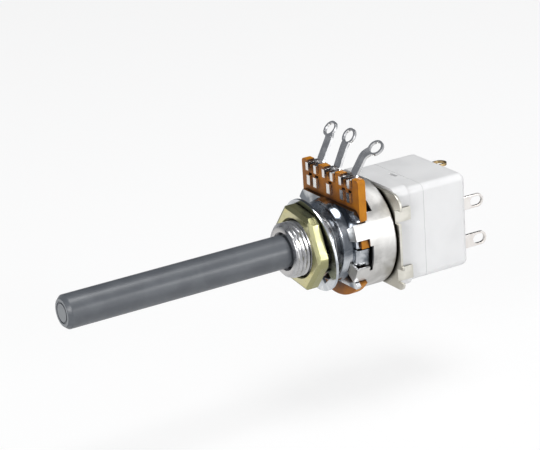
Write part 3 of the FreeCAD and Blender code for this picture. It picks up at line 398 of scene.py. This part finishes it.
class Finish:
    """A material with one Principled shader, built up effect by effect."""

    def __init__(self, name, metallic=0.0, roughness=0.4):
        self.material = bpy.data.materials.new(name)
        self.material.use_nodes = True
        self.tree = self.material.node_tree
        self.shader = self.tree.nodes["Principled BSDF"]
        self.shader.inputs["Metallic"].default_value = metallic
        self.shader.inputs["Roughness"].default_value = roughness

    def effect(self, group, **values):
        """Places an effect with its own values and returns its mask."""
        node = self.tree.nodes.new("ShaderNodeGroup")
        node.node_tree = group
        for label, value in values.items():
            node.inputs[label].default_value = value
        return node.outputs["Mask"]

    def between(self, mask, low, high):
        """A number that goes from low to high with the mask."""
        node = self.tree.nodes.new("ShaderNodeMapRange")
        node.inputs["To Min"].default_value = low
        node.inputs["To Max"].default_value = high
        self.tree.links.new(mask, node.inputs["Value"])
        return node.outputs["Result"]

    def blend(self, mask, low, high):
        """A colour that goes from low to high with the mask; either may be a colour or a socket."""
        node = self.tree.nodes.new("ShaderNodeMix")
        node.data_type = "RGBA"
        self.tree.links.new(mask, node.inputs["Factor"])
        for label, colour in (("A", low), ("B", high)):
            socket = [entry for entry in node.inputs if entry.name == label and entry.type == "RGBA"][0]
            if isinstance(colour, bpy.types.NodeSocket):
                self.tree.links.new(colour, socket)
            else:
                socket.default_value = (*colour, 1.0)
        return [entry for entry in node.outputs if entry.type == "RGBA"][0]

    def colour(self, source):
        """Feeds the surface's colour from a socket."""
        self.tree.links.new(source, self.shader.inputs["Base Color"])

    def paint_crease_shade(self, dark, **values):
        """Paints shade into the corners and narrow gaps, on top of the colour made so far."""
        socket = self.shader.inputs["Base Color"]
        mask = self.effect(CREASES, **values)
        self.colour(self.blend(mask, socket.links[0].from_socket, dark))

    def roughness(self, source):
        """Feeds the surface's roughness from a socket."""
        self.tree.links.new(source, self.shader.inputs["Roughness"])

    def relief(self, mask, depth_mm, strength):
        """Bumps of the given depth where the mask is high, on top of any earlier ones."""
        bump = self.tree.nodes.new("ShaderNodeBump")
        bump.inputs["Strength"].default_value = strength
        bump.inputs["Distance"].default_value = depth_mm * MM
        self.tree.links.new(mask, bump.inputs["Height"])
        socket = self.shader.inputs["Normal"]
        if socket.is_linked:
            self.tree.links.new(socket.links[0].from_socket, bump.inputs["Normal"])
        self.tree.links.new(bump.outputs["Normal"], socket)

    def wear(self, piece):
        """Puts this finish on a piece."""
        piece.data.materials.clear()
        piece.data.materials.append(self.material)


grey_moulding = Finish("grey_moulding", roughness=0.42)
mould_lines = grey_moulding.effect(DRAWN_LINES, Scale=1500.0, Y=0.02)
skin = grey_moulding.effect(CLOUDS, Scale=220.0, Low=0.35, High=0.65)
rod_grey = grey_moulding.blend(skin, (0.088, 0.096, 0.108), (0.108, 0.117, 0.130))
end_face = grey_moulding.effect(FACING)
grey_moulding.colour(grey_moulding.blend(end_face, rod_grey, (0.21, 0.225, 0.24)))
# Painted shade darkens the rod's corners and narrow gaps.
grey_moulding.paint_crease_shade((0.04, 0.045, 0.05), Reach=0.3)
grey_moulding.roughness(grey_moulding.between(mould_lines, 0.28, 0.40))
grey_moulding.relief(mould_lines, depth_mm=0.02, strength=0.35)
grey_moulding.wear(softened("spindle", edge_mm=0.12, segments=3))

# The bush is turned brass with nickel plating, and has an M10 x 0.75 thread along it.
# The thread is cut down from the full diameter and runs out at the mounting face.
THREAD_PITCH = 0.75
THREAD_DEPTH = 0.30
THREAD_RADIUS = 5.0
THREAD_RUN_IN = 0.5
THREAD_CREST_SHARE = 0.10
THREAD_FLANK_SHARE = 0.80
THREAD_SHARP_DEGREES = 32.0
ROWS_PER_MM = 14
SPOKES = 128
BUSH_FRONT = -8.0
BUSH_NOSE_RADIUS = 4.45
BUSH_NOSE_EDGE_WIDTH = 0.06
BUSH_NOSE_EDGE_DEPTH = 0.03
BUSH_BEVEL = 0.55
BUSH_MOUTH_RADIUS = 3.45
BUSH_MOUTH_DEPTH = 0.9
BUSH_LIP_WIDTH = 0.05
BUSH_LIP_DEPTH = 0.04
BUSH_BORE_RADIUS = 3.01
BUSH_NECK_RADIUS = 4.0
BUSH_NECK_BACK = 0.8
BUSH_COLLAR_RADIUS = 4.7
BUSH_COLLAR_BACK = 1.3


def thread_outline():
    """(radius, y, depth of thread there) from the mouth, along the thread, to the bore's back."""
    outline = [
        (BUSH_BORE_RADIUS, BUSH_FRONT + BUSH_MOUTH_DEPTH, 0.0),
        (BUSH_MOUTH_RADIUS, BUSH_FRONT + BUSH_LIP_DEPTH, 0.0),
        (BUSH_MOUTH_RADIUS + BUSH_LIP_WIDTH, BUSH_FRONT, 0.0),
        (BUSH_NOSE_RADIUS - BUSH_NOSE_EDGE_WIDTH, BUSH_FRONT, 0.0),
        (BUSH_NOSE_RADIUS, BUSH_FRONT + BUSH_NOSE_EDGE_DEPTH, 0.0),
    ]
    rows = int(-BUSH_FRONT * ROWS_PER_MM)
    for row in range(1, rows + 1):
        y = BUSH_FRONT * (1 - row / rows)
        rise = min(1.0, (y - BUSH_FRONT) / BUSH_BEVEL)
        radius = BUSH_NOSE_RADIUS + (THREAD_RADIUS - BUSH_NOSE_RADIUS) * rise
        cut = THREAD_DEPTH * min(1.0, (y - BUSH_FRONT) / THREAD_RUN_IN, -y / THREAD_RUN_IN)
        outline.append((radius, y, cut))
    outline += [
        (BUSH_NECK_RADIUS, 0.0, 0.0),
        (BUSH_NECK_RADIUS, BUSH_NECK_BACK, 0.0),
        (BUSH_COLLAR_RADIUS, BUSH_NECK_BACK, 0.0),
        (BUSH_COLLAR_RADIUS, BUSH_COLLAR_BACK, 0.0),
        (BUSH_BORE_RADIUS, BUSH_COLLAR_BACK, 0.0),
    ]
    return outline


def threaded_bush_form():
    """The bush's mesh: its outline turned round, with the thread cut as a helix."""
    shape = bmesh.new()
    rings = []
    for radius, y, cut in thread_outline():
        ring = []
        for spoke in range(SPOKES):
            turn_share = spoke / SPOKES
            phase = (y / THREAD_PITCH + turn_share) % 1.0
            from_crest = abs(phase * 2.0 - 1.0)
            groove = min(1.0, max(0.0, (from_crest - THREAD_CREST_SHARE) / THREAD_FLANK_SHARE))
            here = radius - cut * groove
            angle = 2 * math.pi * turn_share
            ring.append(shape.verts.new((here * math.cos(angle) * MM, y * MM, here * math.sin(angle) * MM)))
        rings.append(ring)
    for lower, upper in zip(rings, rings[1:] + rings[:1]):
        for spoke in range(SPOKES):
            after = (spoke + 1) % SPOKES
            shape.faces.new((lower[spoke], lower[after], upper[after], upper[spoke]))
    bmesh.ops.recalc_face_normals(shape, faces=shape.faces)
    mesh = bpy.data.meshes.new("threaded_bush_form")
    shape.to_mesh(mesh)
    shape.free()
    mesh.shade_smooth()
    mesh.set_sharp_from_angle(angle=math.radians(THREAD_SHARP_DEGREES))
    piece = bpy.data.objects.new("threaded_bush_form", mesh)
    scene.collection.objects.link(piece)
    stand_for(piece, "threaded_bush")
    return piece


nickel = Finish("nickel_plating", metallic=1.0)
nickel_patches = nickel.effect(CLOUDS, Scale=700.0, Low=0.35, High=0.7)
nickel_turning = nickel.effect(DRAWN_LINES, Scale=2500.0, X=0.3, Y=2.0, Z=0.3)
nickel.colour(nickel.blend(nickel_patches, (0.55, 0.55, 0.56), (0.74, 0.74, 0.75)))
nickel.roughness(nickel.between(nickel_patches, 0.24, 0.38))
# Painted shade darkens the bush's thread grooves and corners.
nickel.paint_crease_shade((0.10, 0.10, 0.11), Reach=0.5)
nickel.relief(nickel_turning, depth_mm=0.006, strength=0.25)
nickel.wear(threaded_bush_form())

# The nut is pressed steel, zinc plated and passivated yellow, with bevelled corners.
# The passivation is thin: its tint drifts from straw to green. The sides carry painted shade, darker than
# the front face.
yellow_zinc = Finish("yellow_zinc", metallic=1.0)
straw_patches = yellow_zinc.effect(CLOUDS, Scale=260.0, Low=0.35, High=0.65, Swirl=0.8)
green_patches = yellow_zinc.effect(CLOUDS, Scale=420.0, Low=0.5, High=0.75)
press_marks = yellow_zinc.effect(CLOUDS, Scale=1600.0, Low=0.3, High=0.7)
straw = yellow_zinc.blend(straw_patches, (0.66, 0.61, 0.30), (0.82, 0.79, 0.52))
passivated = yellow_zinc.blend(green_patches, straw, (0.50, 0.52, 0.26))
# Painted shade: the side facets get a darker tint than the front face.
nut_front_vs_shaded_sides = yellow_zinc.effect(FACING)
yellow_zinc.colour(yellow_zinc.blend(nut_front_vs_shaded_sides, (0.42, 0.41, 0.22), passivated))
yellow_zinc.roughness(yellow_zinc.between(straw_patches, 0.24, 0.38))
yellow_zinc.relief(press_marks, depth_mm=0.02, strength=0.35)
# Painted shade darkens the nut's corners and the gaps round it.
yellow_zinc.paint_crease_shade((0.10, 0.09, 0.03), Reach=1.2)
yellow_zinc.wear(softened("hex_nut", edge_mm=0.06, sharp_degrees=18.0))

# The washer, the front plate and the clip inside are pressed from bright zinc-plated steel.
# The plating is glossy, with a slight blue cast, small dents and cloudy patches from handling. On the front
# plate the cloudy tint is much darker, partly as painted dark reflection.
ZINC_TINTS = {
    "locating_washer": ((0.56, 0.60, 0.65), (0.84, 0.87, 0.90)),
    # The front plate's dark cloudy tint is partly painted dark reflection.
    "front_plate": ((0.16, 0.18, 0.21), (0.74, 0.77, 0.81)),
    "retaining_clip": ((0.50, 0.53, 0.57), (0.74, 0.77, 0.80)),
}
for pressing, (cloudy_and_dark_reflection_tint, bright_tint) in ZINC_TINTS.items():
    bright_zinc = Finish(pressing + "_zinc", metallic=1.0)
    zinc_patches = bright_zinc.effect(CLOUDS, Scale=170.0, Low=0.42, High=0.60, Swirl=0.6)
    zinc_dents = bright_zinc.effect(CLOUDS, Scale=260.0, Low=0.3, High=0.7, Swirl=0.2)
    zinc_grain = bright_zinc.effect(CLOUDS, Scale=2600.0, Low=0.3, High=0.7)
    bright_zinc.colour(bright_zinc.blend(zinc_patches, cloudy_and_dark_reflection_tint, bright_tint))
    # Painted shade darkens the pressings' corners and the gaps near the washer and nut.
    bright_zinc.paint_crease_shade((0.05, 0.06, 0.07), Reach=2.6, Low=0.20, High=0.80)
    bright_zinc.roughness(bright_zinc.between(zinc_patches, 0.12, 0.26))
    bright_zinc.relief(zinc_dents, depth_mm=0.06, strength=0.4)
    bright_zinc.relief(zinc_grain, depth_mm=0.008, strength=0.3)
    bright_zinc.wear(softened(pressing, edge_mm=0.10))

# The track board is stamped from paper laminate, orange brown and a little glossy.
# Its front face carries painted shade, darker than its edges, and its cut edges show the paper's fibres.
laminate = Finish("paper_laminate", roughness=0.4)
laminate.shader.inputs["Specular IOR Level"].default_value = 0.28
fibres = laminate.effect(DRAWN_LINES, Scale=1400.0, X=0.25, Y=3.0, Z=1.0)
stains = laminate.effect(CLOUDS, Scale=300.0, Low=0.35, High=0.65)
board_tint = laminate.blend(stains, (0.48, 0.175, 0.004), (0.62, 0.240, 0.006))
board_tint = laminate.blend(laminate.between(fibres, 0.0, 0.35), board_tint, (0.26, 0.080, 0.003))
# Painted shade: the front face gets a darker tint than the edges.
board_front_shade_mask = laminate.between(laminate.effect(FACING), 0.0, 0.85)
front_shade_tint = laminate.blend(stains, (0.22, 0.070, 0.007), (0.38, 0.130, 0.010))
laminate.colour(laminate.blend(board_front_shade_mask, board_tint, front_shade_tint))
# Painted shade darkens the board in its corners, notches and narrow gaps.
laminate.paint_crease_shade((0.035, 0.014, 0.010), Reach=4.5, Low=0.14, High=0.60)
laminate.roughness(laminate.between(stains, 0.36, 0.52))
laminate.relief(fibres, depth_mm=0.015, strength=0.3)
laminate.wear(softened("track_board", edge_mm=0.08))

# The resistive ring and the pick-up ring are printed on the back of the board.
# One is matt carbon ink and the other silver ink.
carbon_ink = Finish("carbon_ink", roughness=0.62)
carbon_grain = carbon_ink.effect(CLOUDS, Scale=2200.0, Low=0.3, High=0.7)
carbon_ink.colour(carbon_ink.blend(carbon_grain, (0.012, 0.012, 0.014), (0.030, 0.030, 0.033)))
carbon_ink.relief(carbon_grain, depth_mm=0.01, strength=0.4)
carbon_ink.wear(frame["nodes"]["carbon_track"])
silver_ink = Finish("silver_ink", metallic=0.8, roughness=0.5)
silver_grain = silver_ink.effect(CLOUDS, Scale=2000.0, Low=0.3, High=0.7)
silver_ink.colour(silver_ink.blend(silver_grain, (0.50, 0.50, 0.48), (0.62, 0.62, 0.60)))
silver_ink.relief(silver_grain, depth_mm=0.01, strength=0.3)
silver_ink.wear(frame["nodes"]["collector_track"])

# Each solder tag is stamped from tinned brass strip, clawed over the board and bent at its own angle.
# The tinning is soft and shiny, with faint lines from the strip's rolling.
tinning = Finish("tag_tinning", metallic=1.0)
tin_patches = tinning.effect(CLOUDS, Scale=600.0, Low=0.35, High=0.7)
rolling = tinning.effect(DRAWN_LINES, Scale=1500.0, X=0.8, Y=0.4, Z=0.4)
tinning.colour(tinning.blend(tin_patches, (0.78, 0.78, 0.79), (0.95, 0.95, 0.95)))
tinning.roughness(tinning.between(tin_patches, 0.20, 0.34))
# Painted shade darkens the tags in their corners and where they meet the board.
tinning.paint_crease_shade((0.10, 0.07, 0.05), Reach=0.6, Low=0.30, High=0.80)
tinning.relief(rolling, depth_mm=0.008, strength=0.3)
for tag in ("left_tag", "centre_tag", "right_tag"):
    tinning.wear(softened(tag, edge_mm=0.22, segments=4))

# The can is drawn from tinned steel: cloudy, softly shiny, with streaks round it from the drawing die.
# Its four tabs are folded over the front plate.
drawn_can = Finish("drawn_can", metallic=1.0)
can_clouds = drawn_can.effect(CLOUDS, Scale=190.0, Low=0.30, High=0.70, Swirl=1.2)
can_streaks = drawn_can.effect(DRAWN_LINES, Scale=900.0, X=0.35, Y=1.6, Z=0.35)
can_stains = drawn_can.effect(CLOUDS, Scale=520.0, Low=0.55, High=0.85)
can_tone = drawn_can.blend(can_clouds, (0.60, 0.59, 0.57), (0.84, 0.83, 0.81))
drawn_can.colour(drawn_can.blend(drawn_can.between(can_stains, 0.0, 0.5), can_tone, (0.40, 0.38, 0.36)))
# Painted shade darkens the can's corners and narrow gaps.
drawn_can.paint_crease_shade((0.03, 0.025, 0.02), Reach=1.0)
drawn_can.roughness(drawn_can.between(can_clouds, 0.36, 0.50))
drawn_can.relief(can_streaks, depth_mm=0.02, strength=0.35)
drawn_can.wear(softened("rear_can", edge_mm=0.08))

# The bracket is stamped from thin tinned steel, and its tabs are bent back along the switch.
# Its surface is a little yellower and duller than the can's.
bracket_tin = Finish("bracket_tin", metallic=1.0)
bracket_clouds = bracket_tin.effect(CLOUDS, Scale=350.0, Low=0.35, High=0.7)
bracket_tin.colour(bracket_tin.blend(bracket_clouds, (0.66, 0.64, 0.57), (0.86, 0.84, 0.77)))
# Painted shade darkens the bracket's corners and the gaps along the can and switch.
bracket_tin.paint_crease_shade((0.05, 0.04, 0.02), Reach=1.4, Low=0.12, High=0.65)
bracket_tin.roughness(bracket_tin.between(bracket_clouds, 0.42, 0.55))
bracket_tin.relief(bracket_clouds, depth_mm=0.02, strength=0.3)
bracket_tin.wear(softened("switch_bracket", edge_mm=0.10))

# The switch is moulded in two white halves that meet at a fine seam.
# The moulding is hard and satin, with a very faint ripple.
white_moulding = Finish("white_moulding", roughness=0.42)
ripple = white_moulding.effect(CLOUDS, Scale=160.0, Low=0.3, High=0.7)
pores = white_moulding.effect(CLOUDS, Scale=3200.0, Low=0.3, High=0.7)
white_moulding.colour(white_moulding.blend(ripple, (0.76, 0.76, 0.76), (0.81, 0.81, 0.81)))
# Painted shade darkens the moulding's seam, slot and corners.
white_moulding.paint_crease_shade((0.12, 0.115, 0.11), Reach=0.7, Low=0.36, High=0.95)
white_moulding.roughness(white_moulding.between(ripple, 0.38, 0.50))
white_moulding.relief(ripple, depth_mm=0.05, strength=0.4)
white_moulding.relief(pores, depth_mm=0.006, strength=0.3)
white_moulding.wear(softened("switch_front_housing", edge_mm=0.10))
white_moulding.wear(softened("switch_rear_housing", edge_mm=0.12))

# Three of the switch's tags are silver plated, and the one that lies flat is plain brass.
# Each is stamped with a long eye for the wire.
silver_plate = Finish("switch_tag_silver", metallic=1.0)
tarnish = silver_plate.effect(CLOUDS, Scale=500.0, Low=0.35, High=0.7)
silver_plate.colour(silver_plate.blend(tarnish, (0.76, 0.72, 0.68), (0.90, 0.87, 0.84)))
silver_plate.roughness(silver_plate.between(tarnish, 0.30, 0.44))
silver_plate.relief(tarnish, depth_mm=0.01, strength=0.3)
for tag in ("near_upper_switch_tag", "near_lower_switch_tag", "far_lower_switch_tag"):
    silver_plate.wear(softened(tag, edge_mm=0.09))
plain_brass = Finish("switch_tag_brass", metallic=1.0)
brass_patches = plain_brass.effect(CLOUDS, Scale=500.0, Low=0.35, High=0.7)
plain_brass.colour(plain_brass.blend(brass_patches, (0.46, 0.32, 0.14), (0.70, 0.53, 0.28)))
plain_brass.roughness(plain_brass.between(brass_patches, 0.22, 0.40))
plain_brass.relief(brass_patches, depth_mm=0.01, strength=0.3)
plain_brass.wear(softened("far_upper_switch_tag", edge_mm=0.09))

# Inside, the wiper's carrier and the switch's cam are black mouldings.
# The wiper and the switch's leaves are stamped from spring alloy.
black_moulding = Finish("black_moulding", roughness=0.45)
black_skin = black_moulding.effect(CLOUDS, Scale=400.0, Low=0.3, High=0.7)
black_moulding.colour(black_moulding.blend(black_skin, (0.014, 0.014, 0.016), (0.028, 0.028, 0.031)))
black_moulding.relief(black_skin, depth_mm=0.02, strength=0.3)
black_moulding.wear(softened("wiper_carrier", edge_mm=0.10))
black_moulding.wear(softened("switch_cam", edge_mm=0.10))
spring_alloy = Finish("spring_alloy", metallic=1.0)
alloy_rolling = spring_alloy.effect(DRAWN_LINES, Scale=1600.0, X=1.5, Y=1.5, Z=0.1)
spring_alloy.colour(spring_alloy.blend(alloy_rolling, (0.58, 0.42, 0.20), (0.72, 0.56, 0.32)))
spring_alloy.roughness(spring_alloy.between(alloy_rolling, 0.22, 0.36))
for contact in ("wiper_contact", "near_leaf_contact", "far_leaf_contact"):
    spring_alloy.wear(softened(contact, edge_mm=0.03, segments=1))
